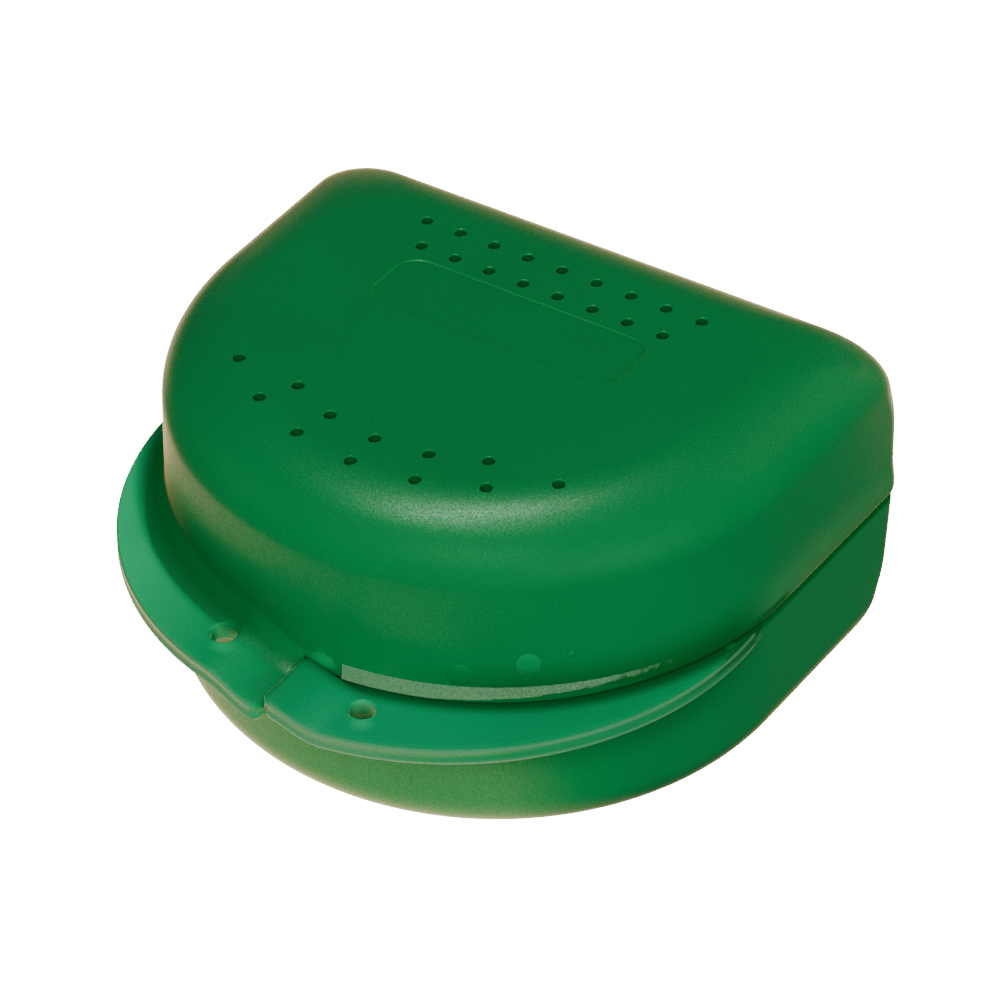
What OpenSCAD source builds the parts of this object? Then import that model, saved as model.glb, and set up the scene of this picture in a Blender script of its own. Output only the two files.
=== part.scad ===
// Vented mouthguard case with a two-layer mouthguard inside.
// The lid and the base are one moulding used twice: the base is the lid turned half a turn
// about the front-to-back axis. The front faces -Y, the hinge runs along X at the back.

/* [Case halves] */
// Radius of the round front, at the seam
front_r = 39.6; // [39:0.1:42]
// From the centre of the round front to the back wall
back_len = 26.9; // [26:0.1:29]
// Angle by which the sides lean out towards the back
flare = 1.3; // [0.5:0.1:2]
// Radius of the two back corners, at the seam
corner_r = 1.7; // [1.5:0.1:2.5]
// Growth of that radius for each millimetre of height
corner_rise = 0.23; // [0.2:0.01:0.25]
// Growth of that radius for each millimetre that the outline moves in
corner_gain = 0.27; // [0.2:0.01:0.35]
// Height of each half
half_h = 23.1; // [22.5:0.1:25]
// Wall thickness
wall = 1.8; // [1.7:0.05:2]
// How far the walls lean in for each millimetre of height
draft = 0.02; // [0.01:0.005:0.04]
// Width of the rounding round the closed end
round_w = 10.5; // [9:0.1:11]
// Height of the rounding round the closed end
round_h = 7.8; // [7:0.1:9]
// Gap between the two rims when shut
seam_gap = 0.06; // [0.04:0.02:0.1]

/* [Seam bead and lip] */
// How far the bead stands out of the wall
bead_out = 0.45; // [0.3:0.05:0.5]
// Height of the bead above the seam
bead_h = 3.2; // [2.8:0.1:3.6]
// Distance of the bead's square end from the middle of the front
bead_start = 4.8; // [4:0.1:6]
// Height of the inner lip that seats in the other half
lip_h = 1.5; // [1.2:0.1:1.8]
// Thickness of that lip
lip_t = 0.7; // [0.6:0.05:0.8]
// Clearance between the lip and its rebate
lip_fit = 0.1; // [0.08:0.01:0.12]
// Where the lip ends, behind the centre of the round front
lip_back = 15; // [12:0.5:17]

/* [Grip flange] */
// How far the flange stands out at the middle of the front
flange_out = 9.5; // [9:0.1:10.5]
// Thickness of the flange
flange_t = 2.4; // [2.2:0.1:2.6]
// Radius of the lanyard hole
lanyard_r = 1.5; // [1.3:0.1:1.6]
// Distance of the lanyard hole from the middle of the front
lanyard_x = 9.5; // [9.5:0.1:11]
// How far the leaf's free end bends past the seam
leaf_dip = 2.2; // [1.8:0.1:2.4]
// Gap between a leaf's free end and the other half
leaf_gap = 0.8; // [0.7:0.05:1]

/* [Vents and label pad] */
// Distance between neighbouring vent holes
vent_pitch = 4.8; // [4.6:0.1:5]
// Radius of a vent hole
vent_r = 0.72; // [0.5:0.05:0.9]
// From the centre of the round front to the rear row of vents
vent_row = 14; // [13:0.1:15]
// Length of the blank label pad
pad_w = 34; // [30:0.5:36]
// Width of the blank label pad
pad_d = 10; // [8:0.5:11]
// Depth of the blank label pad
pad_deep = 0.25; // [0.2:0.05:0.4]

/* [Hinge] */
// From the back wall to the hinge axis
hinge_off = 2.6; // [2.5:0.05:2.8]
// Outer radius of the hook and the ears
knuckle_r = 2.4; // [2.2:0.05:2.4]
// Radius of the bar between the ears
bar_r = 1.2; // [1.1:0.05:1.3]
// Running clearance round the bar
bar_fit = 0.06; // [0.04:0.01:0.08]
// Distance of each hook and bar from the middle
hinge_x = 17; // [15:0.5:19]
// Length of the hook along the bar
hook_len = 6; // [5:0.5:7]

/* [Mouthguard] */
// Half the width of the arch, at the middle of the trough
arch_a = 24.5; // [23:0.5:25]
// Depth of the arch, front to back
arch_b = 40; // [38:0.5:40]
// Height of the outer wall at the front teeth
guard_front_h = 22; // [20:0.5:23]
// Height of the outer wall at the back teeth
guard_back_h = 15; // [12:0.5:17]
// Thickness of the soft liner
liner_t = 1.2; // [1:0.1:1.4]

/* [Hidden] */
$fn = 64;

case_green = [0, 0.44, 0.2];
frame_green = [0.03, 0.3, 0.16];
liner_white = [0.9, 0.92, 0.88];

hinge_y = back_len + hinge_off;
front_y = -(flange_out + front_r);
// The row's origin is under the middle of the whole case
arc_y = -(front_y + hinge_y + knuckle_r) / 2;
shoulder_z = half_h - round_h;
seam_z = seam_gap / 2;
join_z = seam_z + 0.1; // underside of whatever is joined to the outside of the wall
eps = 0.3;      // how deep a joined shape is sunk into its neighbour
through = 60;   // longer than anything that a cut has to go through

/* Outline of a half: round front, leaning sides, flat back with round corners */

arc_n = 22;     // steps in each quarter of the round front
corner_n = 8;   // steps in each back corner
bead_edge = 0.2; // degrees taken by the bead's square end
bead_t = 270 + asin(bead_start / front_r);

function corner_at(z, inset) = corner_r + corner_rise * z + corner_gain * inset;

// One ring of the half at height z, moved in by inset, and out by bulge along the bead
function ring(z, inset, bulge = 0) = let (
    r = front_r - inset,
    rc = corner_at(z, inset),
    cy = back_len - inset - rc,
    cx = (r - rc + cy * sin(flare)) / cos(flare),
    left = bead_t - 180 - flare,
    right = 180 - flare - bead_edge - (bead_t - 180)
) concat(
    [for (i = [0:arc_n]) let (t = 180 + flare + i * left / arc_n) [r * cos(t), r * sin(t), z]],
    [for (i = [0:arc_n]) let (t = bead_t + bead_edge + i * right / arc_n)
        [(r + bulge) * cos(t), (r + bulge) * sin(t), z]],
    [for (i = [0:corner_n]) let (
            t = -flare + i * (90 + flare) / corner_n,
            rb = rc + bulge * (1 - i / corner_n))
        [cx + rb * cos(t), cy + rb * sin(t), z]],
    [for (i = [0:corner_n]) let (t = 90 + i * (90 + flare) / corner_n)
        [-cx + rc * cos(t), cy + rc * sin(t), z]]);

// Heights and offsets of the bead, from the seam up
bead_profile = [for (t = [0:30:180]) [seam_z + bead_h * (1 - cos(t)) / 2, bead_out * sin(t)]];
round_steps = 9;

outer_rings = concat(
    [for (b = bead_profile) ring(b[0], draft * b[0], b[1])],
    [for (i = [0:round_steps]) let (t = 90 * i / round_steps)
        ring(shoulder_z + round_h * sin(t), draft * shoulder_z + round_w * (1 - cos(t)))]);
inner_rings = concat(
    [for (i = [round_steps:-1:0]) let (t = 90 * i / round_steps)
        ring(shoulder_z + (round_h - wall) * sin(t),
             wall + draft * shoulder_z + (round_w - wall) * (1 - cos(t)))],
    [ring(seam_z, wall)]);

// Closes a stack of equal rings whose first and last ring meet
module tube_of(rings, caps) {
    n = len(rings[0]);
    m = len(rings);
    polyhedron(
        points = [for (r = rings) for (p = r) p],
        faces = concat(
            [for (k = [0:m - 2], i = [0:n - 1]) if (k != caps)
                [k * n + i, (k + 1) * n + i, (k + 1) * n + (i + 1) % n, k * n + (i + 1) % n]],
            [for (i = [0:n - 1])
                [(m - 1) * n + i, i, (i + 1) % n, (m - 1) * n + (i + 1) % n]],
            [[for (i = [n - 1:-1:0]) caps * n + i], [for (i = [0:n - 1]) (caps + 1) * n + i]]));
}

module dome() {
    tube_of(concat(outer_rings, inner_rings), len(outer_rings) - 1);
}

// Point on the leaning left side, moved in by inset
function side_point(inset, y) = [-(front_r - inset + y * sin(flare)) / cos(flare), y];

run_start = 180 + flare + 0.7; // just past the side, clear of the rim's own corners

// Left stretch of the outline, from the side round to stop_x short of the middle
function left_run(inset, y, stop_x) = let (
    r = front_r - inset,
    t_end = 270 - asin(stop_x / r)
) concat([side_point(inset, y)],
    [for (i = [0:arc_n]) let (t = run_start + i * (t_end - run_start) / arc_n)
        [r * cos(t), r * sin(t)]]);

module band(inset_a, inset_b, y, stop_x) {
    b = left_run(inset_b, y, stop_x);
    polygon(concat(left_run(inset_a, y, stop_x), [for (i = [len(b) - 1:-1:0]) b[i]]));
}

lip_in = wall - 0.15; // inset of the lip's inner face
lip_end = 1;         // distance of the lip's end from the middle of the front

module lip() {
    translate([0, 0, -lip_h]) linear_extrude(lip_h + 1)
        band(lip_in - lip_t, lip_in, lip_back, lip_end);
}

module rebate() {
    mirror([1, 0, 0]) translate([0, 0, -1]) linear_extrude(1 + lip_h + lip_fit)
        band(lip_in - lip_t - lip_fit, wall + 1, lip_back + 1, lip_end / 2);
}

/* Grip flange: half a crescent, whose end at the middle bends past the seam */

leaf_split = 0.15;  // half the gap between the two leaves
bend_len = 8;       // length of the bent stretch
bend_steps = 10;
tip_r = (flange_t - join_z) / 2;

function leaf_z(x) = x < -bend_len ? 0 : -leaf_dip * (1 - cos(180 * (x + bend_len) / bend_len)) / 2;

module leaf_side() {
    xs = [for (i = [0:bend_steps]) -bend_len + i * (bend_len - leaf_split - tip_r) / bend_steps];
    x_end = xs[bend_steps];
    polygon(concat(
        [[-through, join_z]],
        [for (x = xs) [x, join_z + leaf_z(x)]],
        [for (t = [-60:30:60]) [x_end + tip_r * cos(t), join_z + leaf_z(x_end) + tip_r * (1 + sin(t))]],
        [for (i = [bend_steps:-1:0]) [xs[i], flange_t + leaf_z(xs[i])]],
        [[-through, flange_t]]));
}

module crescent(inner_r) {
    difference() {
        translate([0, -flange_out]) circle(front_r, $fn = 256);
        circle(inner_r, $fn = 256);
        translate([-through, 0]) square(2 * through);
        translate([0, -2 * through]) square(2 * through);
    }
}

module leaf() {
    intersection() {
        union() {
            translate([0, 0, seam_z]) linear_extrude(half_h) crescent(front_r - eps);
            translate([0, 0, -half_h]) linear_extrude(half_h + seam_z) crescent(front_r + leaf_gap);
        }
        rotate([90, 0, 0]) linear_extrude(through) leaf_side();
    }
}

foot_r = 1.8; // height and width of the fillet at the foot of the wall
foot_steps = 4;

module leaf_foot() {
    intersection() {
        translate([0, 0, seam_z]) linear_extrude(half_h) crescent(front_r - eps);
        rotate([0, 0, 180 + 20]) rotate_extrude(angle = 57, $fn = 256)
            polygon(concat(
                [[front_r - eps, flange_t - eps], [front_r + foot_r, flange_t - eps]],
                [for (i = [0:foot_steps]) let (t = 90 * i / foot_steps)
                    [front_r + foot_r * (1 - sin(t)), flange_t + foot_r * (1 - cos(t))]],
                [[front_r - eps, flange_t + foot_r]]));
    }
}

lanyard_y = -flange_out - front_r + 6.8;

module lanyard_hole() {
    translate([-lanyard_x, lanyard_y, -half_h]) cylinder(r = lanyard_r, h = 2 * half_h);
}

/* Vents and label pad in the closed end */

module vent(x, y) {
    translate([x, y, half_h - 2 * wall]) cylinder(r = vent_r, h = 3 * wall, $fn = 24);
}

row_n = 9;          // vents in the rear row, with one fewer in the next
fan_y = 0.7;        // centre of the two front fans of vents
fan_step = 15;      // degrees between vents in a fan

module vents() {
    for (i = [0:row_n - 1]) vent((i - (row_n - 1) / 2) * vent_pitch, vent_row);
    for (i = [0:row_n - 2]) vent((i - (row_n - 2) / 2) * vent_pitch, vent_row - vent_pitch);
    for (i = [-3:3]) vent(6.4 * vent_pitch * sin(i * fan_step), fan_y - 6.4 * vent_pitch * cos(i * fan_step));
    for (i = [-2:2]) vent(5.4 * vent_pitch * sin(i * fan_step), fan_y - 5.4 * vent_pitch * cos(i * fan_step));
}

pad_r = 3;
pad_y = 2;

module label_pad() {
    translate([0, pad_y, half_h - pad_deep]) linear_extrude(wall) {
        square([pad_w - 2 * pad_r, pad_d], center = true);
        square([pad_w, pad_d - 2 * pad_r], center = true);
        for (x = [-1, 1], y = [-1, 1])
            translate([x * (pad_w / 2 - pad_r), y * (pad_d / 2 - pad_r)]) circle(pad_r);
    }
}

/* Hinge: a bar between two ears on the left, a snap hook on the right */

ear_t = 1.6;
ear_gap = 0.3;
arm_h = 6;         // height of the arm that carries an ear or a hook
slot_w = 1.9;      // mouth of the snap hook, narrower than the bar

// Arm from the back wall to a knuckle, w long and centred on x
module knuckle(x, w) {
    translate([x - w / 2, hinge_y, 0]) {
        rotate([0, 90, 0]) cylinder(r = knuckle_r, h = w);
        rotate([90, 0, 90]) linear_extrude(w)
            polygon([[0, join_z], [-hinge_off - 1, join_z], [-hinge_off - 1, arm_h],
                     [-hinge_off + 0.8, arm_h], [knuckle_r * cos(30), knuckle_r * sin(30)]]);
    }
}

module bar() {
    reach = hook_len / 2 + ear_gap + ear_t / 2;
    for (s = [-1, 1]) knuckle(-hinge_x + s * reach, ear_t);
    translate([-hinge_x - reach, hinge_y, 0]) rotate([0, 90, 0]) cylinder(r = bar_r, h = 2 * reach);
}

module hook() {
    difference() {
        knuckle(hinge_x, hook_len);
        translate([0, hinge_y, 0]) rotate([0, 90, 0]) cylinder(r = bar_r + bar_fit, h = through);
        translate([0, hinge_y, 0]) rotate([-45, 0, 0])
            translate([0, 0, -slot_w / 2]) cube([through, 2 * knuckle_r, slot_w]);
    }
}

module half_shell() {
    difference() {
        union() {
            dome();
            lip();
            leaf();
            leaf_foot();
            bar();
            hook();
        }
        rebate();
        lanyard_hole();
        vents();
        label_pad();
    }
}

module lid_shell() {
    color(case_green) translate([0, arc_y, half_h]) half_shell();
}

module base_shell() {
    color(case_green) translate([0, arc_y, half_h]) rotate([0, 180, 0]) half_shell();
}

/* Mouthguard: a trough swept round a dental arch, resting on the base's floor */

arch_steps = 24;
guard_y = arc_y - 26.5 + arch_b; // centre of the arch, at the back ends of its legs
guard_gap = 0.05;  // parts the two layers
guard_rise = 0.1;  // hairline between it and the base's floor
floor_t = 3;       // thickness under the teeth

// How far round the arch from the back teeth (0) to the front teeth (1)
function frontness(t) = pow(cos(t), 2);
function outer_h(t) = guard_back_h + (guard_front_h - guard_back_h) * frontness(t);
function inner_h(t) = 10 + 3 * frontness(t);

function frame_section(t) = let (ho = outer_h(t), hi = inner_h(t)) [
    [-2.5, 0], [2.5, 0], [5.2, 1.2], [6.6, floor_t], [7.2, ho - 1], [6.6, ho], [5.8, ho],
    [5.2, floor_t], [-5.2, floor_t], [-5.6, hi], [-6.4, hi], [-7, hi - 1], [-6.6, floor_t], [-5.2, 1.2]];

function liner_section(t) = let (
    ho = outer_h(t) - 1.2, hi = inner_h(t) - 1, lo = 5.2 - guard_gap, f = floor_t + guard_gap
) [[-lo, f], [lo, f], [lo + 0.4, ho], [lo + 0.4 - liner_t, ho], [lo - liner_t, f + liner_t],
   [liner_t - lo, f + liner_t], [liner_t - lo - 0.3, hi], [-lo - 0.3, hi]];

// A section point carried to the arch at angle t, 0 at the front teeth
function on_arch(p, t) = let (
    nx = arch_b * sin(t), ny = -arch_a * cos(t), n = norm([nx, ny])
) [arch_a * sin(t) + p[0] * nx / n, guard_y - arch_b * cos(t) + p[0] * ny / n, wall + guard_rise + p[1]];

module sweep_sections(sections) {
    n = len(sections[0]);
    m = len(sections);
    polyhedron(
        points = [for (s = sections) for (p = s) p],
        faces = concat(
            [for (k = [0:m - 2], i = [0:n - 1])
                [k * n + i, k * n + (i + 1) % n, (k + 1) * n + (i + 1) % n, (k + 1) * n + i]],
            [[for (i = [n - 1:-1:0]) i], [for (i = [0:n - 1]) (m - 1) * n + i]]));
}

module mouthguard_frame() {
    color(frame_green) sweep_sections([for (k = [0:arch_steps])
        let (t = -90 + 180 * k / arch_steps) [for (p = frame_section(t)) on_arch(p, t)]]);
}

module mouthguard_liner() {
    color(liner_white) sweep_sections([for (k = [0:arch_steps])
        let (t = -90 + 180 * k / arch_steps) [for (p = liner_section(t)) on_arch(p, t)]]);
}

lid_shell();
base_shell();
mouthguard_frame();
mouthguard_liner();
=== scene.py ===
"""Looks of the mouthguard case: two like moulded halves, and the two-layer guard that they hold."""

import math

import bmesh
import bpy
import numpy as np
from mathutils import Matrix, Vector


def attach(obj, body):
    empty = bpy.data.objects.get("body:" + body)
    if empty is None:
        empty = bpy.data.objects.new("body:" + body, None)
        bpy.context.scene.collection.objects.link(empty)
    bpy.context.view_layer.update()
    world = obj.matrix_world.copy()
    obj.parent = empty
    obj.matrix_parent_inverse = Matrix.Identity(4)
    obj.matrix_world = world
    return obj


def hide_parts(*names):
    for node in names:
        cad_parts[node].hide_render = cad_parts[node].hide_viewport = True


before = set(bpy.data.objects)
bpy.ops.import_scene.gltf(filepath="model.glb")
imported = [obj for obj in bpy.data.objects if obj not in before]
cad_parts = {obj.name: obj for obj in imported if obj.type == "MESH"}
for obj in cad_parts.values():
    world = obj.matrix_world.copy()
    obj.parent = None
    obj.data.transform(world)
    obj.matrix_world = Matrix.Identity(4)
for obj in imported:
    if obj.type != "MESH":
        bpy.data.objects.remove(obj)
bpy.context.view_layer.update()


MM = 0.001

# Driving sizes of one half, in mm, in its own frame: x across, y back from the centre of the
# round front, z up from the seam
FRONT_R = 39.6
BACK_LEN = 26.9
FLARE = math.radians(1.3)
# Radius of the back corners at the seam, its growth between two heights, and its growth for each
# millimetre that the outline moves in
CORNER_R = 2.95
CORNER_GROW = 2.6
CORNER_ZS = (10, 19)
CORNER_GAIN = 0.43
HALF_H = 23.1
WALL = 1.8
# How far the walls lean in for each millimetre of height
DRAFT = 0.02
# Width and height of the rounding round the closed end
ROUND_W = 10.5
ROUND_H = 7.8
SHOULDER = HALF_H - ROUND_H
# Height of the rim, which is half of the gap at the seam
SEAM = 0.03

# The flange leaf: how far out it stands at the middle, its top and its lower face above the seam
FLANGE_OUT = 9.5
FLANGE_T = 2.4
LEAF_UNDER = 0.13
# Gap between the bent part and the other half, length and depth of the bend, and x of the free end
LEAF_GAP = 0.8
BEND_LEN = 8.0
BEND_DIP = 2.2
LEAF_END = -0.15
# How deep the leaf is sunk into the wall, and its lanyard hole: (x, y, radius)
SUNK = 0.85
LANYARD = (-9.5, -42.3, 1.5)

# The gentle bead on the right and the sharp band at the front: x of their square end, how far out
# they stand (the band at its lower and its upper edge), and the heights of their edges
BEAD_START = 4.8
BEAD_OUT = 0.28
BEAD_H = 4.4
BAND_OUT = 0.5
BAND_EDGE = 0.1
BAND_H = 2.15
BAND_DROP = 0.42
# Angles on the round front between which the band sinks back into the wall
BAND_FADE = (306.0, 338.0)
# Lens-shaped swelling beside the band's square end: (x, z, half width, half height, how far out)
LENS = (2.1, 1.5, 1.85, 1.2, 0.55)
# How deep the wall is set back beside the seam, on the left and its corner, and up to what height
RECESS = 0.25
RECESS_H = 1.2
# The lip on the left and the rebate on the right: the lip's front end (x) and rear end (y), the
# lip's height, the rebate's depth, and how far in the wall is stepped
LIP_END = -1.0
LIP_BACK = 15.0
LIP_H = 1.5
REBATE_H = 1.6
SHELF = 0.9
# Clearance of the lip on its outer and its inner side, and the chamfer of lip and rebate
LIP_FIT = 0.05
LIP_INSIDE = 0.15
LIP_CHAMFER = 0.15

# Vent holes: their pitch and radius, and y of the rear one of the two straight rows
VENT_PITCH = 4.8
VENT_R = 0.72
VENT_ROW = 14.0
# The fan of vents at the front: its centre, the step between neighbours in degrees, and for each
# arc its radius in pitches and how many vents it has on each side of the middle
FAN_Y = 0.7
FAN_STEP = 15
FAN_ARCS = ((6.4, 3), (5.4, 2))
# Blank pad: width, depth, corner radius, distance of its middle from the centre, and depth sunk
PAD = (34.0, 10.0, 3.0, 2.0, 0.16)
# Places of the moulding marks on the wall: (angle from the middle of the front, height)
BUTTON = (38.0, 5.4)
LOW_BUTTON = (27.0, 3.7)
PIP = (45.0, 6.2)

# The hinge: distance of its axis from the back wall, radii of the knuckles and of the bar, place and
# length of a hook, thickness of an ear, and clearance round the bar
HINGE_OFF = 2.6
HINGE_Y = BACK_LEN + HINGE_OFF
KNUCKLE_R = 2.4
BAR_R = 1.2
HINGE_X = 17.0
HOOK_LEN = 6.0
EAR = 1.6
BAR_FIT = 0.06
# Height of an arm's root and its depth in the wall, gap between a hook and its ears, and half width
# and tilt in degrees of the hook's mouth
ARM_H = 6.0
ARM_ROOT = 1.0
EAR_GAP = 0.3
MOUTH = 0.95
MOUTH_TILT = -45

# Where the origin of a half lies in the part's frame
HALF_Y = 8.6
HALF_Z = HALF_H


# ---------------------------------------------------------------- mesh helpers

def new_object(name, verts, faces):
    """A mesh object from points in mm."""
    mesh = bpy.data.meshes.new(name)
    mesh.from_pydata([tuple(float(c) * MM for c in v) for v in verts], [], faces)
    mesh.validate()
    mesh.update()
    obj = bpy.data.objects.new(name, mesh)
    bpy.context.scene.collection.objects.link(obj)
    return obj


def outward(obj):
    """Turns every face of a closed mesh outwards."""
    bm = bmesh.new()
    bm.from_mesh(obj.data)
    bmesh.ops.recalc_face_normals(bm, faces=bm.faces)
    bm.to_mesh(obj.data)
    bm.free()
    return obj


def apply_modifiers(obj):
    """Replaces the mesh with what its modifiers make of it."""
    graph = bpy.context.evaluated_depsgraph_get()
    mesh = bpy.data.meshes.new_from_object(obj.evaluated_get(graph))
    obj.modifiers.clear()
    obj.data = mesh


def cut(obj, tool, operation="DIFFERENCE"):
    """One exact boolean, after which the tool is gone."""
    mod = obj.modifiers.new("cut", "BOOLEAN")
    mod.operation = operation
    mod.solver = "EXACT"
    mod.object = tool
    apply_modifiers(obj)
    bpy.data.objects.remove(tool, do_unlink=True)


def join(name, objs):
    """One object from several, with their meshes side by side."""
    verts, faces = [], []
    for o in objs:
        base = len(verts)
        verts += [tuple(c / MM for c in v.co) for v in o.data.vertices]
        faces += [tuple(i + base for i in p.vertices) for p in o.data.polygons]
        bpy.data.objects.remove(o, do_unlink=True)
    return new_object(name, verts, faces)


def stack(name, rings):
    """A closed skin through equal rings of points, with its two ends closed."""
    n = len(rings[0])
    verts = [p for ring in rings for p in ring]
    faces = [(k * n + i, k * n + (i + 1) % n, (k + 1) * n + (i + 1) % n, (k + 1) * n + i)
             for k in range(len(rings) - 1) for i in range(n)]
    faces += [tuple(range(n))[::-1], tuple((len(rings) - 1) * n + i for i in range(n))]
    return outward(new_object(name, verts, faces))


def lathe(name, profile, place, steps=32):
    """A closed solid of revolution about Z. profile is (radius, z) from one end to the other."""
    turns = [2 * math.pi * i / steps for i in range(steps)]
    obj = stack(name, [[(r * math.cos(a), r * math.sin(a), z) for a in turns] for r, z in profile])
    obj.data.transform(place)
    return obj


def at(x, y, z):
    """Move by that many millimetres."""
    return Matrix.Translation(Vector((x, y, z)) * MM)


def smooth(obj, angle=22):
    """Smooth shading, apart from edges sharper than the angle."""
    for p in obj.data.polygons:
        p.use_smooth = True
    obj.data.set_sharp_from_angle(angle=math.radians(angle))


# ---------------------------------------------------------------- the moulded half

def spread(a, b, count):
    """Evenly spaced values from a to b."""
    return list(np.linspace(a, b, count))


def pair(t, gap=0.06):
    """Two neighbouring angles, for an abrupt change between them."""
    return [t - gap, t + gap]


def angle_at_x(x, radius=FRONT_R):
    """Angle of the point of the round front at that x."""
    return 270 + math.degrees(math.asin(x / radius))


FLARE_DEG = math.degrees(FLARE)
T_LIP, T_REBATE, T_BEAD = angle_at_x(LIP_END), angle_at_x(-LIP_END / 2), angle_at_x(BEAD_START)
FRONT_TS = (spread(180 + FLARE_DEG, T_LIP - 0.5, 110) + pair(T_LIP) + pair(T_REBATE)
            + spread(T_REBATE + 0.5, T_BEAD - 0.4, 22) + pair(T_BEAD)
            + spread(T_BEAD + 0.5, 360 - FLARE_DEG, 104))
SIDE_YS = spread(1.0, LIP_BACK - 0.6, 14) + [LIP_BACK + d for d in (-0.1, 0.1, 1.0, 2.0)]
CORNER_STEPS = 16
BACK_STEPS = 40


def eased(u):
    """Smooth step from 0 to 1."""
    u = np.clip(u, 0, 1)
    return u * u * (3 - 2 * u)


def arc_point(cx, cy, radius, a):
    """Point of an arc, and its outward normal."""
    return (cx + radius * math.cos(a), cy + radius * math.sin(a)), (math.cos(a), math.sin(a))


def outline(inset, z):
    """Points and outward normals of the half's outline at height z, moved in by inset."""
    r = FRONT_R - inset
    grown = CORNER_GROW * float(eased((z - CORNER_ZS[0]) / (CORNER_ZS[1] - CORNER_ZS[0])))
    rc = CORNER_R + grown + CORNER_GAIN * inset
    cy = BACK_LEN - inset - rc
    s, c = math.sin(FLARE), math.cos(FLARE)
    cx = (r - rc + cy * s) / c
    front = [arc_point(0, 0, r, math.radians(t)) for t in FRONT_TS]
    tangent_y, corner_y = -r * s, cy - rc * s
    ys = SIDE_YS
    if corner_y < SIDE_YS[-1] + 0.3:
        ys = [tangent_y + (corner_y - tangent_y) * min(y / SIDE_YS[-1], 0.999) for y in SIDE_YS]
    right = [(((r + y * s) / c, y), (c, -s)) for y in ys]
    arc = [math.radians(a) for a in np.linspace(-FLARE_DEG, 90, CORNER_STEPS)]
    right += [arc_point(cx, cy, rc, a) for a in arc]
    right += [((x, BACK_LEN - inset), (0.0, 1.0)) for x in np.linspace(cx, 0, BACK_STEPS // 2 + 1)[1:]]
    mirrored = [((-p[0], p[1]), (-n[0], n[1])) for p, n in reversed(right[:-1])]
    return front + right + mirrored


COUNT = len(outline(0, 0))
N_FRONT = len(FRONT_TS)


def weights():
    """How much of the bead, lip, rebate, band and recess each point of the outline carries."""
    bead, lip, rebate, band, recess = np.zeros((5, COUNT))
    ts = np.array(FRONT_TS)
    n_side = len(SIDE_YS)
    right = slice(N_FRONT, N_FRONT + n_side)
    right_corner = slice(right.stop, right.stop + CORNER_STEPS)
    on_lip = np.array(SIDE_YS) < LIP_BACK
    bead[:N_FRONT] = ts > T_BEAD
    bead[right] = 1
    bead[right_corner] = np.linspace(1, 0, CORNER_STEPS) ** 0.5
    lip[:N_FRONT] = ts < T_LIP
    lip[COUNT - n_side:] = on_lip[::-1]
    rebate[:N_FRONT] = ts > T_REBATE
    rebate[right] = on_lip
    band[:N_FRONT] = (ts > T_BEAD) * eased((BAND_FADE[1] - ts) / (BAND_FADE[1] - BAND_FADE[0]))
    recess[:N_FRONT] = ts < T_LIP
    recess[COUNT - n_side - CORNER_STEPS:] = 1
    return bead, lip, rebate, band, recess


BEAD_W, LIP_W, REBATE_W, BAND_W, RECESS_W = weights()


def ring(inset, z, out=0.0):
    """One ring of points. inset, z and out are numbers, or one number for each point."""
    insets = np.broadcast_to(np.asarray(inset, float), (COUNT,))
    zs = np.broadcast_to(np.asarray(z, float), (COUNT,))
    outs = np.broadcast_to(np.asarray(out, float), (COUNT,))
    outlines = {}
    pts = []
    for i in range(COUNT):
        key = (round(float(insets[i]), 6), round(float(zs[i]), 6))
        if key not in outlines:
            outlines[key] = outline(*key)
        (x, y), (nx, ny) = outlines[key][i]
        pts.append((x + nx * outs[i], y + ny * outs[i], zs[i]))
    return pts


def scaled(points, f, z, cy=2.0):
    """A ring shrunk towards the middle of the closed end, at height z."""
    return [(x * f, cy + (y - cy) * f, z) for x, y, _ in points]


def bead_profile(z):
    """How far the gentle bead stands out at height z above the seam."""
    u = (z - SEAM) / (BEAD_H - SEAM)
    rise = min(1.0, u / 0.14) ** 0.6
    fall = math.cos(math.pi / 2 * max(0.0, (u - 0.2) / 0.8)) ** 1.3
    return BEAD_OUT * rise * fall


def band_profile(z):
    """How far the sharp-edged band at the front stands out: a face that looks a little upwards."""
    if z > BAND_H or z < BAND_DROP:
        return 0.0
    return BAND_EDGE + (BAND_OUT - BAND_EDGE) * (BAND_H - z) / (BAND_H - BAND_DROP)


def lens(x, z):
    """A low lens-shaped swelling on the wall, beside the band's square end."""
    mid_x, mid_z, half_w, half_h, out = LENS
    u = 1 - ((x - mid_x) / half_w) ** 2 - ((z - mid_z) / half_h) ** 2
    return out * max(0.0, u) ** 0.75


# Heights of the rings in the bead's and the band's stretch, and (inset, height) of the seam's rounding
BAND_ZS = [4.0, 3.5, 3.0, 2.6, 2.35, BAND_H + 0.03, BAND_H, 1.9, 1.6, 1.3, 1.0, 0.75, 0.55,
           BAND_DROP, BAND_DROP - 0.03, 0.34]
SEAM_ROUNDING = ((0.0, 0.25), (0.03, 0.13), (0.1, 0.04), (0.22, 0.0))


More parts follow.
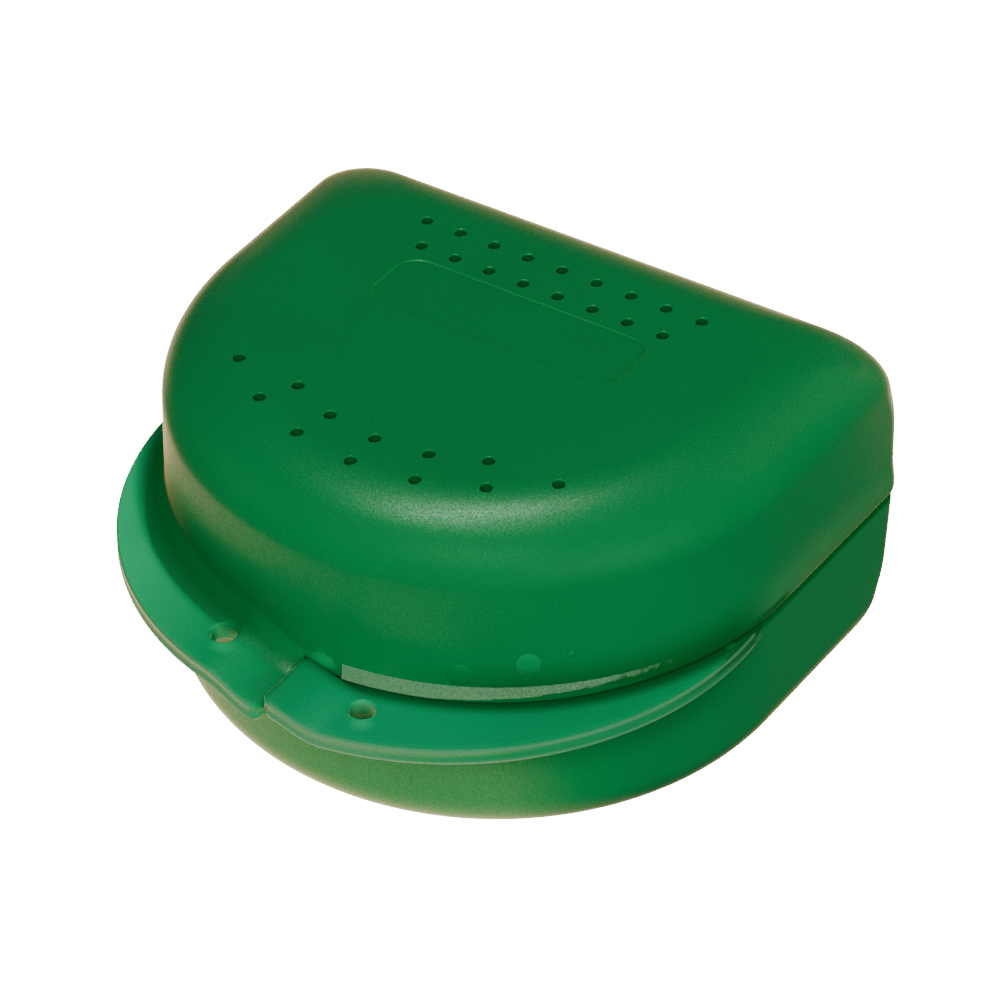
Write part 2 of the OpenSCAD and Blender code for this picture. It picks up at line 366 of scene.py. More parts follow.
def shell_rings():
    """Rings from the middle of the closed end, down the outside, round the rim and up the inside."""
    top_inset = DRAFT * SHOULDER + ROUND_W
    plateau = ring(top_inset, HALF_H)
    rings = [scaled(plateau, f, HALF_H) for f in (0.02, 0.25, 0.5, 0.75, 0.9)]
    for t in np.radians(np.linspace(90, 0, 31)):
        rings.append(ring(DRAFT * SHOULDER + ROUND_W * (1 - math.cos(t)),
                          SHOULDER + ROUND_H * math.sin(t)))
    for z in np.linspace(SHOULDER, BEAD_H, 12)[1:]:
        rings.append(ring(DRAFT * z, z))
    flat = ring(0, 0)
    for z in BAND_ZS:
        out = bead_profile(z) * BEAD_W * (1 - BAND_W) + band_profile(z) * BAND_W
        out += [lens(x, z) if y < 0 else 0.0 for x, y, _ in flat]
        out -= RECESS * RECESS_W * max(0.0, 1 - z / RECESS_H)
        rings.append(ring(DRAFT * z, z, out))
    for inset, z in SEAM_ROUNDING:
        rings.append(ring(inset, SEAM + z, -RECESS * RECESS_W))
    shelf = SHELF + LIP_FIT * LIP_W
    reach = SEAM + REBATE_H * REBATE_W - LIP_H * LIP_W
    inner = WALL - LIP_INSIDE * LIP_W
    rings.append(ring(shelf - 0.08, SEAM))
    rings.append(ring(shelf, SEAM + 0.04 * (REBATE_W - LIP_W)))
    rings.append(ring(shelf, reach + LIP_CHAMFER * (LIP_W - REBATE_W)))
    rings.append(ring(shelf + LIP_CHAMFER, reach))
    rings.append(ring(inner - LIP_CHAMFER, reach))
    rings.append(ring(inner, reach + LIP_CHAMFER))
    rings.append(ring(inner, SEAM + REBATE_H * REBATE_W + 0.3))
    rings.append(ring(WALL, SEAM + REBATE_H * REBATE_W + 0.6))
    for z in np.linspace(REBATE_H + 1.0, SHOULDER, 8):
        rings.append(ring(WALL + DRAFT * z, z))
    for t in np.radians(np.linspace(0, 90, 21))[1:]:
        rings.append(ring(WALL + DRAFT * SHOULDER + (ROUND_W - WALL) * (1 - math.cos(t)),
                          SHOULDER + (ROUND_H - WALL) * math.sin(t)))
    ceiling = rings[-1]
    rings += [scaled(ceiling, f, HALF_H - WALL) for f in (0.75, 0.5, 0.25, 0.02)]
    return rings


def leaf_z(x):
    """How far the leaf bends past the seam at x, which may be an array."""
    bent = -BEND_DIP * (1 - np.cos(np.pi * (x + BEND_LEN) / BEND_LEN)) / 2
    return np.where(x < -BEND_LEN, 0.0, bent)


# Fillet at the leaf's foot, number of sections and degrees of sweep, and the free end's rounding in
# section and in plan
FOOT_W, FOOT_H = 3.6, 3.0
LEAF_STATIONS = 100
LEAF_SWEEP = 85.6
TIP_R = 0.8
PLAN_R = 1.7
# Across the rim, from its upper edge to its lower one: (offset out, share of the thickness)
RIM = ((-0.55, 1.0), (-0.27, 0.99), (-0.08, 0.94), (0.01, 0.85), (-0.01, 0.74), (-0.1, 0.62),
       (-0.1, 0.38), (-0.01, 0.26), (0.02, 0.16), (-0.02, 0.07), (-0.17, 0.015), (-0.5, 0.0))


def leaf_stations():
    """Point on the wall, direction out, width, and distance from the free end, for each section."""
    stations = []
    for u in spread(0, 1, LEAF_STATIONS):
        t = math.radians(270 - LEAF_SWEEP * (1 - u) ** 1.1)
        ex, ey = math.cos(t), math.sin(t)
        reach = -FLANGE_OUT * ey + math.sqrt(FRONT_R ** 2 - (FLANGE_OUT * ex) ** 2)
        if reach * ex < LEAF_END - PLAN_R - 0.8:
            stations.append(((FRONT_R * ex, FRONT_R * ey), (ex, ey), reach - FRONT_R, PLAN_R))
    for phi in np.radians(spread(0, 90, 13)):
        d = PLAN_R * (1 - math.sin(phi))
        x = LEAF_END - d
        stations.append(((x, -math.sqrt(FRONT_R ** 2 - x * x)), (0.0, -1.0), FLANGE_OUT, d))
    return stations


def rounded_off(radius, d):
    """How much a corner of that radius takes off at distance d from the face."""
    if d >= radius:
        return 0.0
    return radius * (1 - math.sqrt(1 - ((radius - d) / radius) ** 2))


def leaf_sections():
    """Closed sections of the flange leaf, from its tapered end to its bent end."""
    sections = []
    full = FLANGE_T - LEAF_UNDER
    for (ax, ay), (ex, ey), width, d_end in leaf_stations():
        width -= rounded_off(PLAN_R, d_end)
        thin = rounded_off(TIP_R, d_end)
        share = min(1.0, max(width, 0.2) / 4)
        foot_w = min(FOOT_W, max(0.5 * width, 0.05))
        foot_h = min(FOOT_H, max(0.5 * width, 0) + 0.2)
        foot_from = min(-DRAFT * (FLANGE_T + foot_h) - 0.08, width - 0.35)
        foot_to = foot_from + foot_w
        gap = min(LEAF_GAP, 0.3 * width) if width > 0.3 else width - 0.21

        def point(d, h):
            """A point d out from the wall, or inside it if d is negative, at h above the lower face."""
            x, y = ax + ex * d, ay + ey * d
            squeezed = h - thin
            if 0 <= h <= full:
                squeezed = full / 2 + (h - full / 2) * (1 - 2 * thin / full)
            return x, y, LEAF_UNDER + float(leaf_z(x)) + squeezed

        loop = [point(-SUNK, full + foot_h)]
        for a in np.radians(np.linspace(0, 90, 14)):
            loop.append(point(foot_from + foot_w * (1 - math.cos(a)),
                              full + foot_h * (1 - math.sin(a))))
        flat_end = width - 0.7 * share
        loop += [point(foot_to + (flat_end - foot_to) * f, full) for f in spread(0.12, 0.96, 7)]
        loop += [point(width + o * share, h * full) for o, h in RIM]
        loop += [point(gap + (flat_end - gap) * f, 0) for f in spread(0.96, 0.0, 10)]
        for d in (gap, -SUNK):
            x, y, z = point(d, 0)
            loop.append((x, y, max(z, LEAF_UNDER)))
        sections.append(loop)
    return sections


def vent_spots():
    """Centres of the vent holes: two staggered rows at the back and a double fan at the front."""
    spots = [(i * VENT_PITCH, VENT_ROW) for i in range(-4, 5)]
    spots += [((i + 0.5) * VENT_PITCH, VENT_ROW - VENT_PITCH) for i in range(-4, 4)]
    for reach, most in FAN_ARCS:
        for i in range(-most, most + 1):
            a = math.radians(FAN_STEP * i)
            spots.append((reach * VENT_PITCH * math.sin(a), FAN_Y - reach * VENT_PITCH * math.cos(a)))
    return spots


def vents(name):
    """The tool that cuts the vent holes, each with a fine chamfer."""
    profile = [(VENT_R, -WALL - 0.6), (VENT_R, -0.16), (VENT_R + 0.05, -0.06), (VENT_R + 0.14, 0.0),
               (VENT_R + 0.6, 0.46)]
    return join(name, [lathe("vent", profile, at(x, y, HALF_H), 28) for x, y in vent_spots()])


def soften(obj, width, angle):
    """Rounds the edges that are sharper than the angle."""
    mod = obj.modifiers.new("soft", "BEVEL")
    mod.width = width * MM
    mod.segments = 3
    mod.limit_method = "ANGLE"
    mod.angle_limit = math.radians(angle)
    apply_modifiers(obj)
    return obj


def arm(name, x0, x1):
    """A flat arm of constant section along x, with softened edges."""
    return soften(stack(name, [[(x, y, z) for y, z in arm_outline()] for x in (x0, x1)]), 0.3, 40)


def arm_outline():
    """Side view of an arm: from the back wall to a round knuckle on the hinge axis."""
    knuckle = [(HINGE_Y + KNUCKLE_R * math.cos(a), KNUCKLE_R * math.sin(a))
               for a in np.radians(np.linspace(38, -180, 40))]
    return [(BACK_LEN - ARM_ROOT, ARM_H), (BACK_LEN + 0.7, ARM_H)] + knuckle + [
        (HINGE_Y - KNUCKLE_R, LEAF_UNDER), (BACK_LEN - ARM_ROOT, LEAF_UNDER)]


def rod(name, x0, x1, radius):
    """A round bar on the hinge axis."""
    place = at(x0, HINGE_Y, 0) @ Matrix.Rotation(math.pi / 2, 4, "Y")
    return lathe(name, [(radius, 0), (radius, x1 - x0)], place, 40)


def label_pad(name):
    """The tool that sinks the blank pad, with a softened edge."""
    width, depth, radius, mid_y, deep = PAD
    rings = []
    for grow, z in ((-0.1, -deep), (0.0, -deep + 0.06), (0.02, -0.05), (0.07, 0.0), (0.67, 0.6)):
        loop = []
        for k, (sx, sy) in enumerate(((1, 1), (-1, 1), (-1, -1), (1, -1))):
            cx, cy = sx * (width / 2 - radius), sy * (depth / 2 - radius)
            for a in np.radians(np.linspace(90 * k, 90 * k + 90, 12)):
                x, y = (radius + grow) * math.cos(a), (radius + grow) * math.sin(a)
                loop.append((cx + x, mid_y + cy + y, HALF_H + z))
        rings.append(loop)
    return stack(name, rings)


def on_wall(azimuth, z, out=0.0):
    """Place on the wall at that angle from the middle of the front, with its Z axis pointing out."""
    a = math.radians(azimuth)
    r = FRONT_R - DRAFT * z + out
    turn = Matrix.Rotation(a, 4, "Z") @ Matrix.Rotation(math.pi / 2, 4, "X")
    return at(r * math.sin(a), -r * math.cos(a), z) @ turn


def moulding_marks():
    """Small raised marks on the wall: two round pads and a pip."""
    button = [(1.5, -0.6), (1.5, 0.0), (1.44, 0.08), (1.3, 0.14), (0.7, 0.17), (0.02, 0.18)]
    pip = [(0.5, -0.4), (0.5, -0.02), (0.47, 0.07), (0.38, 0.14), (0.22, 0.19), (0.02, 0.2)]
    return [lathe("button", button, on_wall(*BUTTON), 48),
            lathe("low_button", button, on_wall(*LOW_BUTTON, -0.04), 48),
            lathe("pip", pip, on_wall(*PIP), 28)]


def flange_leaf():
    """The half's leaf of the grip flange, with its lanyard hole."""
    leaf = stack("leaf", leaf_sections())
    x, y, r = LANYARD
    profile = [(r + 0.8, -1.0), (r + 0.2, LEAF_UNDER), (r, LEAF_UNDER + 0.25), (r, FLANGE_T - 0.3),
               (r + 0.1, FLANGE_T - 0.1), (r + 0.3, FLANGE_T), (r + 1.3, FLANGE_T + 1.0)]
    cut(leaf, lathe("hole", profile, at(x, y, 0), 48))
    return leaf


def snap_hook():
    """The half's hook, whose mouth opens away from the wall and towards the other half."""
    hook = arm("hook", HINGE_X - HOOK_LEN / 2, HINGE_X + HOOK_LEN / 2)
    ends = (HINGE_X - HOOK_LEN, HINGE_X + HOOK_LEN)
    cut(hook, rod("bore", *ends, BAR_R + BAR_FIT))
    mouth = ((0, -MOUTH), (4, -MOUTH), (4, MOUTH), (0, MOUTH))
    slot = stack("slot", [[(x, y, z) for y, z in mouth] for x in ends])
    slot.data.transform(at(0, HINGE_Y, 0) @ Matrix.Rotation(math.radians(MOUTH_TILT), 4, "X"))
    cut(hook, slot)
    return hook


def half(name):
    """One moulded half in its own frame."""
    shell = stack(name, shell_rings())
    cut(shell, flange_leaf(), "UNION")
    cut(shell, vents("vents"))
    cut(shell, label_pad("pad"))
    for mark in moulding_marks():
        cut(shell, mark, "UNION")
    reach = HOOK_LEN / 2 + EAR_GAP + EAR / 2
    for side in (-1, 1):
        mid = -HINGE_X + side * reach
        cut(shell, arm("ear", mid - EAR / 2, mid + EAR / 2), "UNION")
    cut(shell, rod("bar", -HINGE_X - reach, -HINGE_X + reach, BAR_R), "UNION")
    cut(shell, snap_hook(), "UNION")
    return shell


def place_half(obj, turned):
    """Carries a half from its own frame to the part's. The base is the lid turned over."""
    turn = Matrix.Rotation(math.pi, 4, "Y") if turned else Matrix.Identity(4)
    obj.data.transform(at(0, HALF_Y, HALF_Z) @ turn)


def points_of(obj):
    """Coordinates of the points in mm, and whether each point looks up."""
    count = len(obj.data.vertices)
    co = np.empty(count * 3)
    obj.data.vertices.foreach_get("co", co)
    normals = np.empty(count * 3, np.float32)
    obj.data.vertex_normals.foreach_get("vector", normals)
    x, y, z = co.reshape(-1, 3).T / MM
    return x, y, z, normals.reshape(-1, 3)[:, 2] > 0


def masks(obj):
    """Marks on each point how far it belongs to each differently coloured region of a half.

    thin and under are the flange's upper and lower faces, painted lighter as light through the thin
    plastic and darker towards the step as shade; edge the painted highlight lines along its rim; band
    the face of the band, frosted and partly a painted highlight; deep painted shade in the recesses, at
    the foot of the flange, under the band and beside the seam; the tan mask a painted warm reflection
    beside the seam and towards the back; and crown the closed end.
    """
    x, y, z, upper = points_of(obj)
    out = np.hypot(x, y) - FRONT_R
    angle = np.degrees(np.arctan2(y, x)) % 360
    front = y < 0

    # The flange's faces, painted lighter as light through the thin plastic and painted darker towards
    # the step as shade, and the two lines and the groove along its rim
    flange = front & (z < FLANGE_T + 0.02) & (z > -BEND_DIP - 0.1)
    thin = flange * upper * (out > 0.6) * eased((out - 1.5) / 2.7) * (1 - 0.75 * eased((x + 34) / 32))
    under = flange * ~upper * (out > 0.6) * eased((out + 0.4) / 3.0)
    under = under * (0.4 + 0.6 * eased((-x - 0.5) / 8)) * (1 - 0.35 * eased((-x - 14) / 18))
    # The rim's two lines and its middle are painted highlights
    rim = np.hypot(x, y + FLANGE_OUT) - FRONT_R
    off_centre = np.abs((z - LEAF_UNDER - leaf_z(x)) / (FLANGE_T - LEAF_UNDER) - 0.5)
    lines = np.exp(-((off_centre - 0.36) / 0.1) ** 2)
    middle = 0.55 * (1 - 0.8 * eased((np.abs(x) - 8) / 18))
    on_rim = flange * (out > 0.5) * np.clip((rim + 0.24) / 0.14, 0, 1)
    edge = on_rim * np.maximum(lines, middle)
    thin, under = thin * (1 - 0.8 * on_rim), under * (1 - 0.8 * on_rim)

    # The band, frosted and pale as a painted highlight, whose lower part is painted as shade instead,
    # more of it towards its right end
    on_band = (z < BAND_H + 0.01) & (z > BAND_DROP - 0.01) & (out > 0.02) & (out < BAND_OUT + 0.02)
    on_band = on_band * (angle > T_BEAD)
    band_shade_top = BAND_DROP + 1.15 * np.clip((angle - 288) / 36, 0, 1)
    reach = np.clip((BAND_FADE[1] - 2 - angle) / 26, 0, 1)
    band = on_band * reach * eased((z - band_shade_top + 0.25) / 0.3)

    # Painted shade: the foot of the flange, under the leaf and the lid, below the band, beside the seam,
    # and inside the vents
    left = np.clip((angle - 184) / 24, 0, 1) * np.clip((T_LIP + 4 - angle) / 14, 0, 1) * front
    near_wall = np.where(out < 0.1, 1.0, np.clip(1 - (out - 1.2) / 2.8, 0, 1) * upper)
    above_leaf = left * np.clip(1 - (z - 2.0) / 9.0, 0, 1) * near_wall * (z > 0.5)
    under_leaf = flange * ~upper * (out > 0.5) * eased(1 - (out - 0.3) / 2.0)
    under_lid = eased((angle - 284) / 24) * eased((358 - angle) / 14) * (out < 0.3) * front
    under_lid = under_lid * eased(1 - (z - 1.0) / 5.5) * (z > 0)
    below_band = 0.8 * on_band * (z < band_shade_top)
    outside = (np.abs(x) > FRONT_R - 0.4) | (y > BACK_LEN - 0.4) | (front & (np.abs(out) < 0.4))
    recessed = (x < 0) & (y < BACK_LEN - 0.4)
    seam = outside * np.where(recessed, np.clip((1.4 - z) / 0.5, 0, 1), z < 0.27)
    to_vent = np.min([np.hypot(x - vx, y - vy) for vx, vy in vent_spots()], axis=0)
    in_vent = (to_vent < VENT_R + 0.02) & (z > HALF_H - 0.2)
    deep = np.max([above_leaf, under_leaf, under_lid, below_band, seam, in_vent], axis=0)

    # Painted warm reflection: the right side beside the seam, and fainter further up towards the back
    on_bead = eased((angle - 342) / 18) * front + (x > FRONT_R - 1) * (y >= 0)
    tan_reflection = on_bead * eased(1 - (z - 1.5) / 6.5) * (z > 0.26) * (out > -3)
    back_tan_reflection = 0.6 * eased((y - 6) / 20) * (x > FRONT_R - 4) * (z > 0.26) * (z < HALF_H - 3)
    tan_reflection = np.maximum(tan_reflection, back_tan_reflection)

    # The button and the lens are painted a little paler than the wall, as light through and on them
    a = math.radians(BUTTON[0])
    to_axis = np.hypot(x - FRONT_R * math.sin(a), y + FRONT_R * math.cos(a))
    on_button = (np.hypot(to_axis, z - BUTTON[1]) < 1.48) & (out > -0.08)
    mid_x, mid_z, half_w, half_h, _ = LENS
    on_lens = ((x - mid_x) / half_w) ** 2 + ((z - mid_z) / half_h) ** 2 < 0.95
    thin = np.maximum(thin, 0.14 * on_button + 0.1 * (on_lens & front & (out > 0.02)))

    layers = {"thin": thin, "under": under, "band": band, "edge": edge, "deep": deep, "tan_reflection": tan_reflection,
              "crown": eased((z - HALF_H + 0.7) / 0.6)}
    for layer, values in layers.items():
        attr = obj.data.attributes.new(layer, "FLOAT", "POINT")
        attr.data.foreach_set("value", values.astype(np.float32))


# ---------------------------------------------------------------- mouthguard

# Half width and depth of the arch along the middle of the trough, and where its front is
ARCH_A, ARCH_B = 24.5, 40.0
ARCH_FRONT = -26.5
GUARD_Y = HALF_Y + ARCH_FRONT + ARCH_B
GUARD_Z = WALL + 0.1
GUARD_GAP = 0.05
# Heights of the outer and the inner wall, each at the front and the back teeth
FRONT_H, BACK_H = 22.0, 15.0
FRONT_INNER_H, BACK_INNER_H = 13.0, 10.0
FLOOR_T = 3.0
LINER_T = 1.2
# Spacing of the teeth, and the ridges and flutes between them in the liner
TOOTH_PITCH = 7.2
RIDGE_H = 0.7
FLUTE = 0.22
# Depth and half width of the notch for the cord of the lip
NOTCH = (2.6, 4.5)
ARCH_TS = spread(-90, 90, 181)


def arch_lengths():
    """Distance along the arch from the middle of the front, for each station."""
    t = np.radians(ARCH_TS)
    x, y = ARCH_A * np.sin(t), -ARCH_B * np.cos(t)
    steps = np.concatenate([[0], np.cumsum(np.hypot(np.diff(x), np.diff(y)))])
    return steps - steps[len(steps) // 2]


ARCH_S = arch_lengths()


def on_arch(p, t):
    """Point of a section, (out, up), carried to the arch at angle t."""
    a = math.radians(t)
    nx, ny = ARCH_B * math.sin(a), -ARCH_A * math.cos(a)
    n = math.hypot(nx, ny)
    x, y = ARCH_A * math.sin(a) + p[0] * nx / n, GUARD_Y - ARCH_B * math.cos(a) + p[0] * ny / n
    return x, y, GUARD_Z + p[1]


def filleted(points, radii, steps=4):
    """The closed polygon with each corner rounded off."""
    loop = []
    n = len(points)
    for i, corner in enumerate(points):
        p, q, r = (Vector(points[j % n]) for j in (i - 1, i, i + 1))
        d = min(radii[i], 0.45 * (p - q).length, 0.45 * (r - q).length)
        a, b = q + (p - q).normalized() * d, q + (r - q).normalized() * d
        for k in range(steps + 1):
            u = k / steps
            loop.append(tuple(a * (1 - u) ** 2 + q * (2 * u * (1 - u)) + b * u * u))
    return loop


def heights(t, s):
    """Heights of the outer and the inner wall, with the notch for the lip's cord at the front."""
    front = math.cos(math.radians(t)) ** 2
    notch = NOTCH[0] * math.exp(-(s / NOTCH[1]) ** 2)
    outer = BACK_H + (FRONT_H - BACK_H) * front - notch
    return outer, BACK_INNER_H + (FRONT_INNER_H - BACK_INNER_H) * front


def frame_loop(t, s):
    """The firm outer layer: a trough with a rounded underside."""
    ho, hi = heights(t, s)
    pts = [(-2.5, 0), (2.5, 0), (5.2, 1.2), (6.6, FLOOR_T), (7.2, ho - 1), (6.6, ho), (5.8, ho),
           (5.2, FLOOR_T), (-5.2, FLOOR_T), (-5.6, hi), (-6.4, hi), (-7, hi - 1), (-6.6, FLOOR_T),
           (-5.2, 1.2)]
    radii = [1.5, 1.5, 1.5, 1.5, 0.8, 0.6, 0.3, 0.1, 0.1, 0.3, 0.5, 0.8, 1.5, 1.5]
    return filleted(pts, radii)


def liner_loop(t, s):
    """The soft liner: two thin walls and a floor that rises a little between the teeth."""
    ho, hi = heights(t, s)
    ho, hi = ho - 1.2, hi - 1
    lo, f = 5.2 - GUARD_GAP, FLOOR_T + GUARD_GAP
    between = 0.5 - 0.5 * math.cos(2 * math.pi * s / TOOTH_PITCH)
    ridge = RIDGE_H * between ** 3
    flute = FLUTE * between ** 2
    half_w = lo - LINER_T
    top = f + LINER_T
    floor = [(half_w * x, top + ridge * (1 - x * x)) for x in (0.8, 0.5, 0.2, -0.2, -0.5, -0.8)]
    pts = [(-lo, f), (lo, f), (lo + 0.4, ho), (lo + 0.4 - LINER_T, ho), (half_w - flute, top + 3.0),
           (half_w, top)]
    pts += floor
    pts += [(-half_w, top), (-half_w + flute, top + 2.5), (-half_w - 0.3, hi), (-lo - 0.3, hi)]
    radii = [0.05, 0.05, 0.3, 0.3, 1.2, 1.0] + [0.4] * 6 + [1.0, 1.2, 0.3, 0.3]
    return filleted(pts, radii)


def guard_layer(name, loop):
    """A layer of the guard, swept round the arch, with its two ends softened."""
    rings = [[on_arch(p, t) for p in loop(t, s)] for t, s in zip(ARCH_TS, ARCH_S)]
    return soften(stack(name, rings), 0.35, 60)


# ---------------------------------------------------------------- materials

class Shader:
    """Short names for making one node material."""

    def __init__(self, name):
        self.mat = bpy.data.materials.new(name)
        self.mat.use_nodes = True
        self.nodes = self.mat.node_tree.nodes
        self.links = self.mat.node_tree.links
        self.bsdf = self.nodes["Principled BSDF"]
        self.coords = self.nodes.new("ShaderNodeTexCoord").outputs["Object"]

    def plug(self, value, socket):
        """Links an output to a socket, or gives it a plain value."""
        if isinstance(value, bpy.types.NodeSocket):
            self.links.new(value, socket)
        elif isinstance(value, tuple) and len(value) == 3 and socket.type == "RGBA":
            socket.default_value = (*value, 1)
        else:
            socket.default_value = value

    def set(self, **inputs):
        """Plugs each value into the surface's input of that name, with _ for a space."""
        for name, value in inputs.items():
            self.plug(value, self.bsdf.inputs[name.replace("_", " ")])

    def attribute(self, name):
        """A mask that is stored on the mesh."""
        node = self.nodes.new("ShaderNodeAttribute")
        node.attribute_name = name
        return node.outputs["Fac"]

    def noise(self, size, detail=2.0, rough=0.5):
        """Noise whose features are about that many millimetres across."""
        node = self.nodes.new("ShaderNodeTexNoise")
        self.plug(self.coords, node.inputs["Vector"])
        node.inputs["Scale"].default_value = 1 / (size * MM)
        node.inputs["Detail"].default_value = detail
        node.inputs["Roughness"].default_value = rough
        return node.outputs["Fac"]

    def ramp(self, value, low, high, to_low=0.0, to_high=1.0):
        """Maps low to to_low and high to to_high, and clamps what is beyond."""
        node = self.nodes.new("ShaderNodeMapRange")
        self.plug(value, node.inputs["Value"])
        for socket, v in zip(("From Min", "From Max", "To Min", "To Max"), (low, high, to_low, to_high)):
            node.inputs[socket].default_value = v
        return node.outputs["Result"]

    def distance(self, centre):
        """Distance in metres from a point given in millimetres."""
        node = self.nodes.new("ShaderNodeVectorMath")
        node.operation = "DISTANCE"
        self.plug(self.coords, node.inputs[0])
        node.inputs[1].default_value = [c * MM for c in centre]
        return node.outputs["Value"]

    def math(self, operation, a, b=0.0):
        """One sum, product or the like of two values."""
        node = self.nodes.new("ShaderNodeMath")
        node.operation = operation
        self.plug(a, node.inputs[0])
        self.plug(b, node.inputs[1])
        return node.outputs[0]

    def mix(self, factor, a, b):
        """Colour a where the factor is 0, and b where it is 1."""
        node = self.nodes.new("ShaderNodeMix")
        node.data_type = "RGBA"
        self.plug(factor, node.inputs["Factor"])
        colours = [i for i in node.inputs if i.type == "RGBA"]
        self.plug(a, colours[0])
        self.plug(b, colours[1])
        return next(o for o in node.outputs if o.type == "RGBA")

    def bump(self, height, strength, distance):
        """Normal of a rough surface whose relief is that many millimetres deep."""
        node = self.nodes.new("ShaderNodeBump")
        node.inputs["Strength"].default_value = strength
        node.inputs["Distance"].default_value = distance * MM
        self.plug(height, node.inputs["Height"])
        return node.outputs["Normal"]


# Body colour, then the colours of painted light and shade laid over it: painted glow on the flange,
# painted light on its underside, painted shade (also the dark of the clouds), a painted warm reflection,
# painted highlights on the rim, and the band's frost with its painted highlight
BODY_GREEN = (0.0, 0.112, 0.028)
SHADE_AND_CLOUD_GREEN = (0.0, 0.05, 0.008)
PAINTED_GLOW_GREEN = (0.0, 0.37, 0.135)
UNDER_LIT_GREEN = (0.0, 0.205, 0.077)
TAN_REFLECTION_GREEN = (0.026, 0.115, 0.038)
RIM_HIGHLIGHT_GREEN = (0.055, 0.18, 0.088)
BAND_FROST_HIGHLIGHT_GREEN = (0.075, 0.17, 0.085)
WARM_SHEEN = (0.75, 0.55, 0.25)
GREEN_GLOSS = (0.62, 1.0, 0.7)
# Spots beside the two lanyard holes where a little glow of light through the plastic is painted, in the
# part's frame
HOLE_GLOW_SPOTS = tuple((side * LANYARD[0] + 1.2, HALF_Y + LANYARD[1] - 1.9, z)
                 for side, z in ((1, HALF_H + FLANGE_T), (-1, HALF_H)))


def case_material(name):
    """Satin moulded plastic with a fine grain, painted lighter where it is thin as light through it,
    painted darker where shade falls, and pale along the edges from a warm sheen and painted highlights.
    """
    sh = Shader(name)
    cloudy = sh.noise(14.0, 3.0)
    grain = sh.noise(0.24, 2.0, 0.6)
    speck = sh.ramp(sh.noise(0.26, 1.0), 0.35, 0.65)
    band, deep = sh.attribute("band"), sh.attribute("deep")

    # Colour: the regions one over the other, most of them painted light and shade, then the painted glow
    # by the holes, the frosted band with its painted highlight, and clouds
    tan_reflection = sh.math("MULTIPLY", sh.attribute("tan_reflection"), sh.ramp(cloudy, 0.3, 0.7, 0.45, 0.9))
    colour = BODY_GREEN
    for mask, green in ((sh.attribute("thin"), PAINTED_GLOW_GREEN), (sh.attribute("under"), UNDER_LIT_GREEN),
                        (tan_reflection, TAN_REFLECTION_GREEN), (sh.math("MULTIPLY", deep, 0.92), SHADE_AND_CLOUD_GREEN),
                        (sh.attribute("edge"), RIM_HIGHLIGHT_GREEN)):
        colour = sh.mix(mask, colour, green)
    hole_glow = [sh.ramp(sh.distance(p), 0.3 * MM, 1.7 * MM, 0.5, 0.0) for p in HOLE_GLOW_SPOTS]
    colour = sh.mix(sh.math("MAXIMUM", *hole_glow), colour, PAINTED_GLOW_GREEN)
    patchy = sh.math("SUBTRACT", sh.noise(1.3, 3.0), sh.ramp(band, 0, 1, 0.62, 0.0))
    frost_and_highlight = sh.math("MULTIPLY", sh.ramp(patchy, 0.0, 0.16), sh.ramp(speck, 0, 1, 0.5, 1.0))
    frost_and_highlight = sh.math("MULTIPLY", frost_and_highlight, sh.ramp(band, 0.0, 0.55))
    colour = sh.mix(frost_and_highlight, colour, BAND_FROST_HIGHLIGHT_GREEN)
    colour = sh.mix(sh.ramp(cloudy, 0.3, 0.7, 0.0, 0.1), colour, SHADE_AND_CLOUD_GREEN)

    # Surface: rougher where frosted or painted dark, a warm sheen at grazing angles, and speckled gloss,
    # both weaker where shade is painted
    rough = sh.ramp(grain, 0.3, 0.7, 0.25, 0.37)
    rough = sh.math("ADD", rough, sh.math("MULTIPLY", frost_and_highlight, 0.25))
    rough = sh.math("ADD", rough, sh.math("MULTIPLY", deep, 0.5))
    grazing = sh.nodes.new("ShaderNodeLayerWeight")
    grazing.inputs["Blend"].default_value = 0.5
    sheen = sh.math("POWER", sh.ramp(grazing.outputs["Facing"], 0.64, 0.96), 1.9)
    sheen = sh.math("MULTIPLY", sheen, sh.ramp(deep, 0, 1, 1.0, 0.0))
    sheen = sh.math("MULTIPLY", sheen, sh.ramp(sh.attribute("crown"), 0, 1, 1.0, 0.2))
    gloss = sh.math("MULTIPLY", sh.ramp(deep, 0, 1, 0.25, 0.02), sh.ramp(speck, 0, 1, 0.55, 1.4))
    sh.set(Base_Color=colour, Roughness=rough, Specular_IOR_Level=gloss, Specular_Tint=GREEN_GLOSS)
    sh.set(Sheen_Weight=sheen, Sheen_Roughness=0.35, Sheen_Tint=WARM_SHEEN)
    sh.set(Normal=sh.bump(grain, 0.4, 0.025))
    return sh.mat


def frame_material(name):
    """Moulded rubber with a faint orange peel."""
    sh = Shader(name)
    colour = sh.mix(sh.ramp(sh.noise(9.0, 3.0), 0.3, 0.7), (0.004, 0.07, 0.03), (0.002, 0.045, 0.02))
    peel = sh.noise(0.9, 2.0)
    sh.set(Base_Color=colour, Roughness=sh.ramp(peel, 0.3, 0.7, 0.34, 0.48))
    sh.set(Normal=sh.bump(peel, 0.25, 0.04))
    return sh.mat


def liner_material(name):
    """Soft milky gel."""
    sh = Shader(name)
    colour = sh.mix(sh.ramp(sh.noise(6.0, 3.0), 0.3, 0.7), (0.78, 0.82, 0.76), (0.66, 0.72, 0.64))
    ripple = sh.noise(1.6, 2.0)
    sh.set(Base_Color=colour, Roughness=sh.ramp(ripple, 0.3, 0.7, 0.24, 0.38))
    sh.set(Subsurface_Weight=0.35, Subsurface_Radius=(1.0, 0.9, 0.7), Subsurface_Scale=0.0015)
    sh.set(Normal=sh.bump(ripple, 0.2, 0.05))
    return sh.mat


# ---------------------------------------------------------------- build

